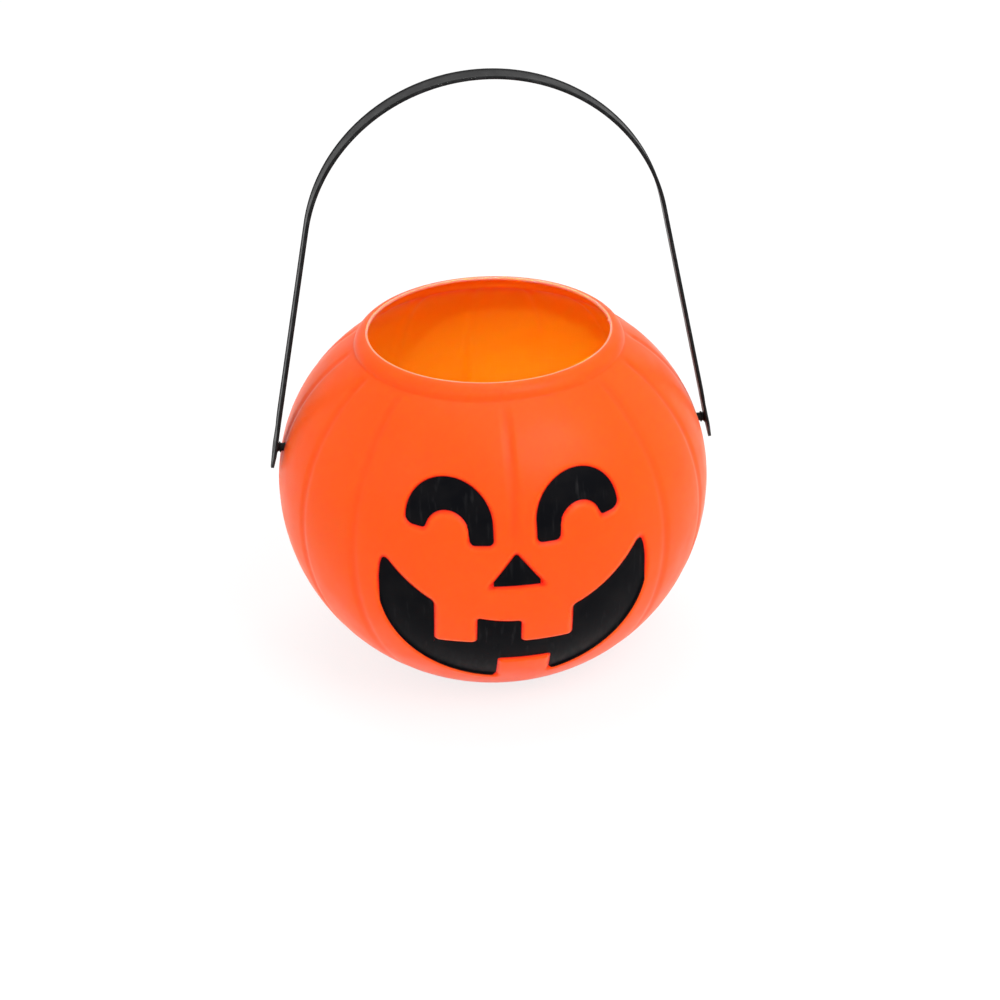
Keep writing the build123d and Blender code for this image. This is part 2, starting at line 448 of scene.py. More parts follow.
@dataclass(frozen=True)
class BlackPaint:
    """Satin black paint with faint strokes, partly painted streak highlights, and a few thinner spots."""

    name: str = "black_face_paint"
    thick: Colour = (0.0026, 0.0028, 0.0038)
    thin: Colour = (0.0052, 0.0050, 0.0056)
    # The paler colour in the strokes: paint strokes, partly a painted streak highlight.
    stroke_highlight: Colour = (0.014, 0.014, 0.015)
    patches: Noise = Noise(110.0, 4.0)
    patch_range: Pair = (0.45, 0.75)
    strokes: Noise = Noise(60.0, 3.0, (9.0, 3.0, 1.0))
    stroke_range: Pair = (0.58, 0.80)
    stroke_relief: Relief = Relief(0.25, 0.10)
    grain: Noise = Noise(1700.0, 2.0)
    grain_relief: Relief = Relief(0.15, 0.03)
    roughness: Pair = (0.30, 0.46)
    gloss: float = 0.02

    def material(self) -> bpy.types.Material:
        """Build the material."""
        wiring = Skin(self.name)
        strokes = wiring.noise(self.strokes)
        patches = wiring.spread(wiring.noise(self.patches), self.patch_range)
        colour = wiring.blend(patches, self.thick, self.thin)
        # The strokes are lighter: a real paint texture and partly a painted streak highlight.
        colour = wiring.blend(wiring.spread(strokes, self.stroke_range), colour, self.stroke_highlight)
        normal = wiring.bump(strokes, self.stroke_relief)
        inputs = {
            "Base Color": colour,
            "Roughness": wiring.spread(strokes, NOISE_SPAN, self.roughness),
            "Normal": wiring.bump(wiring.noise(self.grain), self.grain_relief, normal),
            "Specular IOR Level": self.gloss,
        }
        wiring.feed(wiring.shader, inputs)
        return wiring.material


@dataclass(frozen=True)
class BlackPlastic:
    """Flexible black plastic with a fine grain, slightly paler where its edges rub."""

    name: str = "black_strap_plastic"
    base: Colour = (0.0022, 0.0022, 0.0025)
    dusty: Colour = (0.0048, 0.0048, 0.0052)
    rubbed: Colour = (0.020, 0.020, 0.021)
    patches: Noise = Noise(70.0, 4.0)
    patch_range: Pair = (0.4, 0.7)
    scuffs: Noise = Noise(420.0, 3.0)
    scuff_range: Pair = (0.5, 0.75)
    scuff_share: Pair = (0.0, 0.8)
    haze: Noise = Noise(160.0, 3.0)
    roughness: Pair = (0.34, 0.48)
    grain: Noise = Noise(1500.0, 2.0)
    grain_relief: Relief = Relief(0.2, 0.05)
    gloss: float = 0.15

    def material(self) -> bpy.types.Material:
        """Build the material."""
        wiring = Skin(self.name)
        patches = wiring.spread(wiring.noise(self.patches), self.patch_range)
        colour = wiring.blend(patches, self.base, self.dusty)
        scuffs = wiring.spread(wiring.noise(self.scuffs), self.scuff_range, self.scuff_share)
        rubs = wiring.compute("MULTIPLY", scuffs, wiring.mark("edge"))
        inputs = {
            "Base Color": wiring.blend(rubs, colour, self.rubbed),
            "Roughness": wiring.spread(wiring.noise(self.haze), NOISE_SPAN, self.roughness),
            "Normal": wiring.bump(wiring.noise(self.grain), self.grain_relief),
            "Specular IOR Level": self.gloss,
        }
        wiring.feed(wiring.shader, inputs)
        return wiring.material


@dataclass(frozen=True)
class PaleFloor:
    """Matt white floor that looks white to the camera and keeps part of the shadow."""

    name: str = "pale_floor"
    colour: Colour = (0.92, 0.92, 0.92)
    dust: Noise = Noise(30.0, 3.0)
    dust_tone: float = 0.97
    roughness: float = 0.9
    glow_share: float = 0.80

    def material(self) -> bpy.types.Material:
        """Build the material."""
        wiring = Skin(self.name)
        dust = wiring.spread(wiring.noise(self.dust), NOISE_SPAN)
        colour = wiring.blend(dust, self.colour, tuple(self.dust_tone * part for part in self.colour))
        wiring.feed(wiring.shader, {"Base Color": colour, "Roughness": self.roughness})
        share = wiring.compute("MULTIPLY", wiring.background_rays(), self.glow_share)
        glow = wiring.add("ShaderNodeEmission", inputs={"Color": WHITE, "Strength": 1.0})
        surface = wiring.layer(share, wiring.shader.outputs[0], glow.outputs[0])
        wiring.feed(wiring.output, {"Surface": surface})
        return wiring.material


# The pumpkin's form and its face


@dataclass(frozen=True)
class PumpkinForm:
    """The turned form: a lower and an upper arc that meet upright at the belly, a collar and a base."""

    belly_radius: float = 80.0
    belly_height: float = 69.0
    foot_radius: float = 36.0
    neck_rise: float = 55.2
    rim_radius: float = 44.4
    neck_round: float = 5.2
    ring_width: float = 7.0
    push_up: float = 3.0
    foot_round: float = 6.0
    wall: float = 1.2
    dome_radii: tuple[float, ...] = (2.0, 5.0, 9.0, 13.0, 17.0, 21.0, 25.0, 28.0)
    ring_rows: int = 4
    foot_rows: int = 5
    quarter_rows: int = 11

    @property
    def neck_radius(self) -> float:
        """Radius where the body meets the collar."""
        return self.rim_radius + self.neck_round

    @property
    def neck_height(self) -> float:
        """Height where the body meets the collar."""
        return self.belly_height + self.neck_rise

    @property
    def upper_round(self) -> float:
        """Radius of the arc from the belly to the neck."""
        across = self.belly_radius - self.neck_radius
        return (across**2 + self.neck_rise**2) / (2.0 * across)

    @property
    def lower_round(self) -> float:
        """Radius of the arc from the belly to the foot."""
        across = self.belly_radius - self.foot_radius
        return (across**2 + self.belly_height**2) / (2.0 * across)

    def arc(self, height: Array) -> Array:
        """Arc radius that holds at each height."""
        return np.where(height > self.belly_height, self.upper_round, self.lower_round)

    def radius(self, height: Array, inset: Array | float = 0.0) -> Array:
        """Distance of the body's surface from the axis.

        The arc's centre plus the root of the inset arc radius squared less the rise from the belly
        squared.

        Args:
            height: Heights above the standing ring.
            inset: How far inside the outer surface, square to it.

        Returns:
            The radii.
        """
        arc = self.arc(height)
        rise = height - self.belly_height
        return self.belly_radius - arc + np.sqrt(np.maximum((arc - inset) ** 2 - rise**2, 0.0))

    def arc_rows(self, low: float, high: float, step: float, inset: float) -> Array:
        """Points along one body arc between two heights, even in angle.

        Args:
            low: First height.
            high: Height that the rows stop short of.
            step: Longest step along the arc.
            inset: How far inside the outer surface.

        Returns:
            Radius and height per row.
        """
        arc = (self.upper_round if max(low, high) > self.belly_height else self.lower_round) - inset
        turns = [math.asin((height - self.belly_height) / arc) for height in (low, high)]
        turn = spaced(turns[0], turns[1], step / arc)
        centre = self.belly_radius - arc - inset
        return np.stack([centre + arc * np.cos(turn), self.belly_height + arc * np.sin(turn)], -1)

    def foot_centre(self) -> float:
        """Radius at which the foot's rounding is centred."""
        reach = self.lower_round - self.foot_round
        drop = self.belly_height - self.foot_round
        return self.belly_radius - self.lower_round + math.sqrt(reach**2 - drop**2)

    def base_rows(self, inset: float) -> Array:
        """Rows from the middle of the base over the dome, the standing ring and the foot's rounding.

        The dome is a circle through the ring's inner edge and the pushed-up middle, and the rounding is a
        circle that touches the ring's plane and the lower arc.

        Args:
            inset: How far inside the outer surface.

        Returns:
            Radius and height per row.
        """
        edge = self.foot_radius - self.ring_width
        dome = (edge**2 + self.push_up**2) / (2.0 * self.push_up)
        across = np.array(self.dome_radii)
        dome_rows = np.stack([across, inset + self.push_up - dome + np.sqrt(dome**2 - across**2)], -1)
        centre = self.foot_centre()
        ring = np.linspace(edge, centre, self.ring_rows)
        ring_rows = np.stack([ring, np.full_like(ring, inset)], -1)
        drop = self.belly_height - self.foot_round
        lean = math.atan2(centre - self.belly_radius + self.lower_round, drop)
        turn = np.linspace(0.0, lean, self.foot_rows)[1:]
        small = self.foot_round - inset
        round_rows = np.stack([centre + small * np.sin(turn), self.foot_round - small * np.cos(turn)], -1)
        return np.concatenate([dome_rows, ring_rows, round_rows])

    def collar_rows(self, inset: float, start: float, stop: float) -> Array:
        """Rows round the collar's quarter circle.

        Args:
            inset: How far inside the outer surface.
            start: Angle in degrees at which the rows start.
            stop: Angle at which they end, where 90 is the top.

        Returns:
            Radius and height per row.
        """
        turn = np.radians(np.linspace(start, stop, self.quarter_rows))
        size = self.neck_round - inset
        across, up = size * np.cos(turn), size * np.sin(turn)
        return np.stack([self.rim_radius + across, self.neck_height + up], -1)


@dataclass(frozen=True)
class JackFace:
    """Outlines of the face as signed distances in the X-Z plane, below 0 inside."""

    corner: float = 1.2
    eye_corner: float = 1.9
    tail_corner: float = 2.4
    tooth_corner: float = 2.0
    brow: Pair = (22.7, 88.9)
    brow_radius: float = 15.0
    hollow: Pair = (23.7, 86.0)
    hollow_radius: float = 7.5
    leg_foot: float = 81.6
    tail_angle: float = 7.0
    nose_tip: float = 78.5
    nose_base: float = 65.7
    nose_half_width: float = 9.7
    lower_lip: float = 62.7
    lower_lip_size: Pair = (48.0, 46.0)
    upper_lip: float = 104.6
    upper_lip_radius: float = 54.9
    grin_tip_round: float = 2.8
    upper_teeth: tuple[Pair, ...] = ((-29.3, -14.3), (1.5, 20.3))
    upper_teeth_height: float = 39.0
    lower_tooth: Pair = (-6.6, 12.8)
    lower_tooth_height: float = 29.5
    slope_step: float = 0.05
    least_slope: float = 1e-6

    def eye(self, x: Array, z: Array) -> Array:
        """Distance to the eye at +X: a round brow over a tail line, joined to a leg, less a round hollow.

        Args:
            x: Widths.
            z: Heights.

        Returns:
            Signed distances.
        """
        across, up = x - self.hollow[0], z - self.hollow[1]
        tail = math.radians(self.tail_angle)
        below_tail = across * math.sin(tail) - up * math.cos(tail)
        brow = np.hypot(x - self.brow[0], z - self.brow[1]) - self.brow_radius
        arch = np.maximum(round_max(brow, below_tail, self.tail_corner), -up)
        leg = round_max(self.brow[0] - self.brow_radius - x, self.leg_foot - z, self.eye_corner)
        leg = round_max(leg, across + self.hollow_radius, self.eye_corner)
        outside_hollow = self.hollow_radius - np.hypot(across, up)
        leg = np.maximum(np.maximum(leg, z - self.brow[1]), outside_hollow)
        return np.minimum(round_max(arch, outside_hollow, self.corner), leg)

    def nose(self, x: Array, z: Array) -> Array:
        """Distance to the three-cornered nose: two slanted sides over a level base, corners rounded.

        Args:
            x: Widths.
            z: Heights.

        Returns:
            Signed distances.
        """
        rise = self.nose_tip - self.nose_base
        slant = math.hypot(rise, self.nose_half_width)
        left = (-x * rise + (z - self.nose_tip) * self.nose_half_width) / slant
        right = (x * rise + (z - self.nose_tip) * self.nose_half_width) / slant
        return round_max(round_max(left, right, self.corner), self.nose_base - z, self.corner)

    def mouth(self, x: Array, z: Array) -> Array:
        """Distance to the grin: under an ellipse, over a circle, less teeth with rounded free corners.

        The ellipse's distance is its equation over the length of its slope.

        Args:
            x: Widths.
            z: Heights.

        Returns:
            Signed distances.
        """
        half, drop = self.lower_lip_size
        up = z - self.lower_lip
        level = (x / half) ** 2 + (up / drop) ** 2 - 1.0
        slope = 2.0 * np.sqrt(x**2 / half**4 + up**2 / drop**4)
        lower = level / np.maximum(slope, self.least_slope)
        upper = self.upper_lip_radius - np.hypot(x, z - self.upper_lip)
        mouth = round_max(lower, upper, self.grin_tip_round)
        for left, right in self.upper_teeth:
            sides = np.maximum(left - x, x - right)
            tooth = round_max(sides, self.upper_teeth_height - z, self.tooth_corner)
            mouth = round_max(mouth, -tooth, self.corner)
        left, right = self.lower_tooth
        sides = np.maximum(left - x, x - right)
        tooth = round_max(sides, z - self.lower_tooth_height, self.corner)
        return round_max(mouth, -tooth, self.corner)

    def part(self, part: FacePart) -> Callable[[Array, Array], Array]:
        """Distance function of one part of the face."""
        shapes = {
            FacePart.LEFT_EYE: lambda x, z: self.eye(-x, z),
            FacePart.RIGHT_EYE: self.eye,
            FacePart.NOSE: self.nose,
            FacePart.MOUTH: self.mouth,
        }
        return shapes[part]

    def distance(self, x: Array, z: Array) -> Array:
        """Distance to the nearest part of the face."""
        return np.minimum.reduce([self.part(part)(x, z) for part in FacePart])

    def slope(self, x: Array, z: Array) -> tuple[Array, Array]:
        """Direction in which the distance grows, by differences over a small step.

        Args:
            x: Widths.
            z: Heights.

        Returns:
            The two parts of the slope.
        """
        step = self.slope_step
        across = (self.distance(x + step, z) - self.distance(x - step, z)) / (2.0 * step)
        up = (self.distance(x, z + step) - self.distance(x, z - step)) / (2.0 * step)
        return across, up


@dataclass(frozen=True)
class Recess:
    """How the face sinks into the wall: a floor that follows the body, a steep wall and a rounded lip."""

    form: PumpkinForm
    face: JackFace
    depth: float = 1.3
    floor_edge: float = 0.08
    lip_width: float = 1.9

    def share(self, distance: Array) -> Array:
        """Share of the depth at a distance from the outline.

        1 over the floor, then (1 - t)^2 over the lip's width, steep at the floor and level at the lip.

        Args:
            distance: Signed distances to the outline.

        Returns:
            The shares.
        """
        return (1.0 - np.clip((distance - self.floor_edge) / self.lip_width, 0.0, 1.0)) ** 2

    def front(self, x: Array, z: Array, inset: Array | float = 0.0) -> Array:
        """Y of the body's front: minus the root of the radius squared less the width squared.

        Args:
            x: Widths.
            z: Heights.
            inset: How far inside the outer surface.

        Returns:
            The Y values.
        """
        return -np.sqrt(np.maximum(self.form.radius(z, inset) ** 2 - x**2, 0.0))

    def surface(self, x: Array, z: Array) -> Array:
        """Y of the outer surface with the face sunk in.

        Args:
            x: Widths.
            z: Heights.

        Returns:
            The Y values.
        """
        body = self.front(x, z)
        return body + self.share(self.face.distance(x, z)) * (self.front(x, z, self.depth) - body)


@dataclass
class ShellGrid:
    """The shell's points by row and column, with turn, radius and z before creases and recess.

    deep is how far inside the outer surface a point lies. on_body and front say whether it lies on the
    body's arcs and near the face. distance is how far it is from the face's outline, on_edge says whether
    it was moved to the edge of the face's floor, and is_cut whether it lies on the cut of the rim.
    """

    turn: Array
    radius: Array
    x: Array
    z: Array
    deep: Array
    on_body: Array
    front: Array
    distance: Array
    on_edge: Array
    is_cut: Array


@dataclass
class PailShell:
    """The blow-moulded shell, one closed skin from the base over the rim and back down inside."""

    form: PumpkinForm
    recess: Recess
    finish: OrangePlastic = field(default_factory=OrangePlastic)
    side_creases: tuple[float, ...] = (45.0, 66.0, 90.0, 112.5, 135.0, 157.5)
    crease_width: float = 5.6
    crease_depth: float = 0.45
    crease_foot_share: float = 0.25
    crease_start: Pair = (1.0, 6.0)
    crease_rise: Pair = (4.0, 50.0)
    crease_end: float = 3.0
    brow_crease_end: float = 80.0
    brow_crease_fade: float = 9.0
    pinch_height: float = 0.35
    pinch_half_width: float = 0.5
    pinch_fade: Pair = (7.0, 1.0)
    cut_width: float = 0.8
    cut_shape: tuple[Pair, ...] = ((0.97, 1.0), (0.55, 0.98), (0.12, 0.96), (0.0, 0.8), (0.0, 0.4))
    burr_size: float = 0.7
    burr_half_width: float = 0.6
    burr_reach: float = 0.2
    edge_gap: float = 0.01
    edge_slope: float = 0.25
    # Painted shade for the "fold" mark: how strongly the creases, recess walls, nose's rim and pegs'
    # surroundings are painted deep red, and over what reach.
    crease_shade: float = 0.14
    wall_shade: Pair = (0.1, 1.1)
    nose_rim_shade: Pair = (0.4, 1.4)
    peg_shade: float = 0.6
    peg_shade_spread: Pair = (6.5, 10.0)
    peg_shade_fade: Pair = (0.1, 1.0)
    peg_height: float = 86.8
    # Painted glow inside the shell, in the "inside" mark: its share at the collar and towards the base.
    collar_glow_share: float = 0.45
    collar_glow_fade: float = 8.0
    base_glow_share: float = 0.25
    base_glow_fade: Pair = (15.0, 85.0)
    angle_samples: int = 20001
    face_half_angle: float = 42.0
    face_margin: float = 8.0
    face_step: float = 0.75
    face_growth: float = 0.6
    crease_step: float = 1.05
    crease_zone: float = 3.2
    crease_growth: float = 0.7
    plain_step: float = 5.0
    face_heights: Pair = (14.0, 106.0)
    shoulder_height: float = 121.0
    foot_step: float = 2.2
    shoulder_step: float = 1.7
    neck_step: float = 0.7
    inner_step: float = 2.2
    inner_foot_step: float = 3.0
    inner_neck_step: float = 2.6
    foot_gap: float = 0.8
    belly_gap: float = 0.01
    neck_gap: float = 0.9
    inner_collar: Pair = (90.0, 12.0)

    def crease_angles(self) -> list[float]:
        """Angles of the full creases from the middle of the face, in radians."""
        pairs = [side * angle for angle in self.side_creases for side in (-1.0, 1.0)]
        return [math.radians(angle) for angle in (*pairs, 180.0)]

    def columns(self) -> Array:
        """Angles of the columns, close over the face and the creases and wide between them.

        The running sum of one over the wanted step is divided into equal parts.

        Returns:
            Angles from the middle of the face, in radians.
        """
        belly = self.form.belly_radius
        angle = np.linspace(-math.pi, math.pi, self.angle_samples)
        step = np.full_like(angle, self.plain_step)
        for crease in self.crease_angles():
            away = np.maximum(turn_between(angle, crease) * belly - self.crease_zone, 0.0)
            step = np.minimum(step, self.crease_step + self.crease_growth * away)
        away = np.maximum(np.abs(angle) - math.radians(self.face_half_angle), 0.0) * belly
        step = np.minimum(step, self.face_step + self.face_growth * away)
        total = np.concatenate([[0.0], np.cumsum(belly * (angle[1] - angle[0]) / step[1:])])
        count = 2 * math.ceil(total[-1] / 2.0)
        return np.interp(np.arange(count) * total[-1] / count, total, angle)

    def rows(self) -> tuple[Array, Array, Array]:
        """The meridian, outside from the base up and inside back down.

        Returns:
            Radius and height per row, which rows lie on the body's arcs, and how far inside each row lies.
        """
        form, wall = self.form, self.form.wall
        neck, belly = form.neck_height, form.belly_height
        face_low, face_high = self.face_heights
        low, inner_low = (form.base_rows(inset)[-1, 1] + self.foot_gap for inset in (0.0, wall))
        outside = [
            form.arc_rows(low, face_low, self.foot_step, 0.0),
            form.arc_rows(face_low, belly, self.face_step, 0.0),
            form.arc_rows(belly, face_high, self.face_step, 0.0),
            form.arc_rows(face_high, self.shoulder_height, self.shoulder_step, 0.0),
            form.arc_rows(self.shoulder_height, neck, self.neck_step, 0.0),
        ]
        inside = [
            form.arc_rows(neck - self.neck_gap, face_high, self.inner_neck_step, wall),
            form.arc_rows(face_high, belly, self.inner_step, wall),
            form.arc_rows(belly - self.belly_gap, face_low, self.inner_step, wall),
            form.arc_rows(face_low, inner_low, self.inner_foot_step, wall),
        ]
        lean = math.degrees(math.acos(self.cut_width / form.neck_round))
        sunk = form.neck_round * (1.0 - math.sin(math.radians(lean)))
        cut = np.array(self.cut_shape) * (self.cut_width, wall)
        rim = cut + (form.rim_radius, form.neck_height + form.neck_round - wall - sunk)
        parts = [
            (form.base_rows(0.0), 0.0, False),
            (np.concatenate(outside), 0.0, True),
            (form.collar_rows(0.0, 0.0, lean), 0.0, False),
            (rim, 0.5 * wall, False),
            (form.collar_rows(wall, *self.inner_collar), wall, False),
            (np.concatenate(inside), wall, True),
            (form.base_rows(wall)[::-1], wall, False),
        ]
        meridian = np.concatenate([rows for rows, _, _ in parts])
        body = np.concatenate([np.full(len(rows), on_body) for rows, _, on_body in parts])
        inset = np.concatenate([np.full(len(rows), deep) for rows, deep, _ in parts])
        return meridian, body, inset

    def groove(self, away: Array) -> Array:
        """Share of a crease's depth beside its middle: (1 - u^2)^2, where u is 1 at half its width."""
        return np.clip(1.0 - (2.0 * away / self.crease_width) ** 2, 0.0, 1.0) ** 2

    def crease(self, angle: Array, height: Array) -> Array:
        """Share of the full crease depth: that across it, full over the upper body and shallow at the foot.

        Args:
            angle: Angles from the middle of the face.
            height: Heights above the standing ring.

        Returns:
            The shares, 0 to 1.
        """
        radius = self.form.radius(height)
        neck, brow_end = self.form.neck_height, self.brow_crease_end
        foot = self.crease_foot_share
        fade = foot + (1.0 - foot) * smooth_step(height, *self.crease_rise)
        fade = fade * smooth_step(height, *self.crease_start)
        fade = fade * (1.0 - smooth_step(height, neck - self.crease_end, neck))
        share = np.zeros_like(radius)
        for crease in self.crease_angles():
            share = np.maximum(share, self.groove(turn_between(angle, crease) * radius))
        above_brow = smooth_step(height, brow_end, brow_end + self.brow_crease_fade)
        brow = self.groove(np.abs(angle) * radius) * above_brow
        return np.maximum(share, brow) * fade

    def grid(self) -> ShellGrid:
        """Lay out the points by their column's angle and their row's radius and height.

        Points within half a step of the edge of the face's floor are moved to just beside it, along the
        slope of the distance.

        Returns:
            The grid.
        """
        form, face, edge = self.form, self.recess.face, self.recess.floor_edge
        meridian, body, inset = self.rows()
        angle = self.columns()
        shape = (len(meridian), len(angle))
        turn = np.broadcast_to(angle[None, :], shape).copy()
        z = np.broadcast_to(meridian[:, 1:], shape).copy()
        radius = np.broadcast_to(meridian[:, :1], shape).copy()
        deep = np.broadcast_to(inset[:, None], shape)
        on_body = np.broadcast_to(body[:, None], shape)
        front = on_body & (np.abs(turn) < math.radians(self.face_half_angle + self.face_margin))
        x = radius * np.sin(turn)
        distance = np.full(shape, FAR)
        distance[front] = face.distance(x[front], z[front]) - deep[front]

        near = front & (np.abs(distance - edge) < 0.5 * self.face_step) & (deep == 0.0)
        across, up = face.slope(x[near], z[near])
        beyond = distance[near] - edge
        steep = np.maximum(across**2 + up**2, self.edge_slope)
        back = (beyond - self.edge_gap * np.sign(beyond)) / steep
        x[near] -= back * across
        z[near] -= back * up
        radius[near] = form.radius(z[near])
        turn[near] = np.arcsin(np.clip(x[near] / radius[near], -1.0, 1.0))
        distance[near] = face.distance(x[near], z[near])
        is_cut = (deep > 0.0) & (deep < form.wall)
        return ShellGrid(turn, radius, x, z, deep, on_body, front, distance, near, is_cut)

    def points(self, grid: ShellGrid, fold: Array) -> Array:
        """Move the grid's points to their places.

        Body points sink along the body's normal by the crease, and along Y by the recess. A bell curve
        round +X makes the burr that the trimming left on the rim, and one across Y makes the pinched seam
        under the base.

        Args:
            grid: The grid.
            fold: Share of the crease's depth per point.

        Returns:
            X, Y and Z per point of the grid.
        """
        form, recess, z = self.form, self.recess, grid.z
        burr = np.exp(-(((grid.turn - 0.5 * math.pi) * form.rim_radius / self.burr_half_width) ** 2))
        inner_edge = grid.is_cut & (grid.radius < form.rim_radius + self.burr_reach)
        radius = grid.radius - np.where(inner_edge, self.burr_size * burr, 0.0)
        rise = np.clip((z - form.belly_height) / form.arc(z), -1.0, 1.0)
        sink = self.crease_depth * fold
        radius = radius - sink * np.sqrt(1.0 - rise**2)
        points = np.stack([radius * np.sin(grid.turn), -radius * np.cos(grid.turn), z - sink * rise], -1)
        share = np.where(grid.front, recess.share(grid.distance), 0.0)
        floor = recess.front(points[..., 0], points[..., 2], grid.deep + recess.depth)
        points[..., 1] += np.where(grid.front, share * (floor - points[..., 1]), 0.0)

        ring_edge = form.foot_radius - form.ring_width
        under = ~grid.on_body & (grid.deep == 0.0) & (radius < ring_edge)
        pinch = self.pinch_height * np.exp(-((points[..., 1] / self.pinch_half_width) ** 2))
        start, stop = (ring_edge - length for length in self.pinch_fade)
        pinch = pinch * (1.0 - smooth_step(radius, start, stop))
        points[..., 2] -= np.where(under, pinch, 0.0)
        return points

    def faces(self, on_edge: Array) -> list[list[int]]:
        """Quads between the rows and columns, and a fan round each pole.

        A quad with two opposite corners on the edge of the face's floor is split between them.

        Args:
            on_edge: Which points of the grid lie on that edge.

        Returns:
            Point numbers per face. The two poles follow the grid's points.
        """
        rows, columns = on_edge.shape
        count = rows * columns
        column = np.arange(columns)
        following = (column + 1) % columns
        first = np.stack([np.full(columns, count), following, column], -1)
        last_row = count - columns
        last = np.stack([last_row + column, last_row + following, np.full(columns, count + 1)], -1)
        quads = grid_quads(rows, columns, True)
        corners = on_edge.ravel()[quads]
        rising = corners[:, 0] & corners[:, 2]
        falling = corners[:, 1] & corners[:, 3] & ~rising
        halves = [quads[rising][:, pick] for pick in ([0, 1, 2], [0, 2, 3])]
        halves += [quads[falling][:, pick] for pick in ([0, 1, 3], [1, 2, 3])]
        parts = (quads[~(rising | falling)], *halves, first, last)
        return [face for part in parts for face in part.tolist()]

    def marks(self, grid: ShellGrid, points: Array, fold: Array) -> dict[str, Array]:
        """Values per point that the finish reads, each from 0 to 1.

        "inside" is the share of a painted glow of light through the wall, weaker at the collar and towards
        the base.
        "fold" is painted shade: the most of what the recess's walls, the nose's rim, the pegs' surroundings
        and the creases give. "cut" is 1 on the cut of the rim, where a highlight is painted.

        Args:
            grid: The grid.
            points: X, Y and Z per point of the grid.
            fold: Share of the crease's depth per point.

        Returns:
            Values per point and pole, by name.
        """
        neck, front = self.form.neck_height, grid.front
        nose = np.full(front.shape, FAR)
        nose[front] = self.recess.face.nose(grid.x[front], grid.z[front])
        # Painted shade: redder on the recess walls, round the nose's rim, round the pegs and in the creases.
        walls = 1.0 - smooth_step(grid.distance, *self.wall_shade)
        painted_shade = np.maximum(walls, 1.0 - smooth_step(nose, *self.nose_rim_shade))
        along, up = self.peg_shade_spread
        peg = np.hypot(points[..., 1] / along, (points[..., 2] - self.peg_height) / up)
        painted_shade = np.maximum(painted_shade, self.peg_shade * (1.0 - smooth_step(peg, *self.peg_shade_fade)))
        painted_shade = np.where(grid.deep == 0.0, np.maximum(painted_shade, self.crease_shade * fold), 0.0)
        # Painted glow of light through the wall for the "inside" mark, weaker at the collar and towards the
        # base.
        below_collar = 1.0 - smooth_step(grid.z, neck - self.collar_glow_fade, neck)
        inside = self.collar_glow_share + (1.0 - self.collar_glow_share) * below_collar
        above_base = smooth_step(grid.z, *self.base_glow_fade)
        inside = inside * (self.base_glow_share + (1.0 - self.base_glow_share) * above_base)
        inside = np.where(grid.deep >= self.form.wall, inside, 0.0)
        return {
            "inside": np.append(inside.ravel(), [0.0, self.base_glow_share]),
            "fold": np.append(painted_shade.ravel(), [0.0, 0.0]),
            "cut": np.append(grid.is_cut.ravel(), [0.0, 0.0]),
        }

    def build(self) -> bpy.types.Object:
        """Build the shell from its grid and the two poles of its base.

        Returns:
            The shell's object.
        """
        grid = self.grid()
        fold = np.where(grid.on_body, self.crease(grid.turn, grid.z), 0.0)
        points = self.points(grid, fold)
        middle = self.form.push_up
        poles = np.array([[0.0, 0.0, middle - self.pinch_height], [0.0, 0.0, middle + self.form.wall]])
        places = np.concatenate([points.reshape(-1, 3), poles])
        marks = self.marks(grid, points, fold)
        shell = make_piece("pumpkin_shell", places, self.faces(grid.on_edge), marks)
        self.dress(shell)
        return shell

    def dress(self, shell: bpy.types.Object) -> None:
        """Give the shell its finish and its place."""
        shell.data.materials.append(self.finish.material())
        place(shell, Body.PAIL, Slot.ORANGE, "pail_shell")


